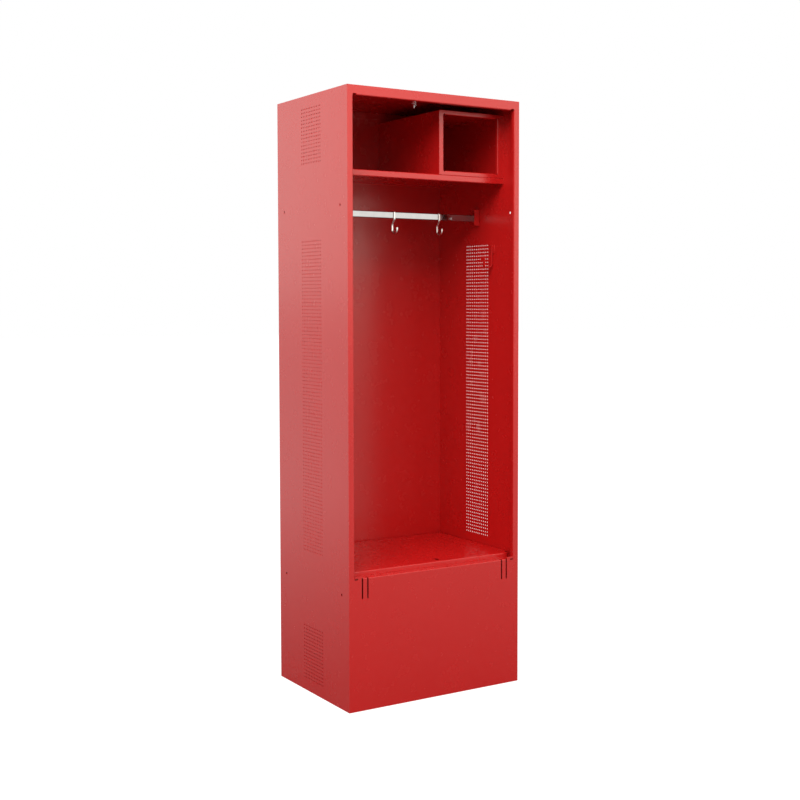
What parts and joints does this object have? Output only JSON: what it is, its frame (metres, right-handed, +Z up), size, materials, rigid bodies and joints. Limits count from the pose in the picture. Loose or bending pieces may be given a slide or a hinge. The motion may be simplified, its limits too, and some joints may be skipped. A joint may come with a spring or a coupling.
{
  "type": "gear locker with bench",
  "caption": "Open-front sheet-metal gear locker with an upper shelf, an open box on it, a hanger rod with sliding hooks and a hinged bench seat over a foot locker.",
  "frame": {"origin": "middle of the base on the floor", "axes": "+Z up, front of the locker faces -Y, +X to the right when facing the front"},
  "size_m": [0.6096, 0.4572, 1.8288],
  "materials": {
    "red_paint": "semi-gloss red powder coat",
    "bright_chrome": "bright plated",
    "satin_steel": "satin plated",
    "zinc_steel": "zinc plated"
  },
  "bodies": {
    "casing": {"front_frame": "red_paint", "left_side_panel": "red_paint", "right_side_panel": "red_paint", "back_panel": "red_paint", "top_panel": "red_paint", "bottom_panel": "red_paint", "upper_shelf": "red_paint", "security_box_frame": "red_paint", "security_box_wrap": "red_paint", "hanger_rod": "bright_chrome", "rod_bracket_left": "red_paint", "rod_bracket_right": "red_paint", "wall_hook_left": "red_paint", "wall_hook_right": "red_paint", "seat_side_ledge_left": "red_paint", "seat_side_ledge_right": "red_paint", "seat_hinge_rail": "red_paint", "hinge_fixed_leaf": "red_paint", "hinge_pin": "zinc_steel", "ceiling_stud": "zinc_steel", "ceiling_washer": "zinc_steel", "ceiling_nut": "zinc_steel"},
    "seat": {"seat_lid": "red_paint", "seat_stiffener": "red_paint", "hinge_moving_leaf": "red_paint"},
    "left_hook": {"sliding_hook_left": "satin_steel"},
    "right_hook": {"sliding_hook_right": "satin_steel"}
  },
  "joints": [
    {"name": "seat_hinge", "type": "hinge", "parent": "casing", "child": "seat", "pos_m": [0, 0.2209, 0.405], "axis": [-1, 0, 0], "range_deg": [0, 90]},
    {"name": "left_hook_slide", "type": "slide", "parent": "casing", "child": "left_hook", "axis": [1, 0, 0], "range_m": [-0.257, 0.079]},
    {"name": "right_hook_slide", "type": "slide", "parent": "casing", "child": "right_hook", "axis": [1, 0, 0], "range_m": [-0.079, 0.13]}
  ]
}
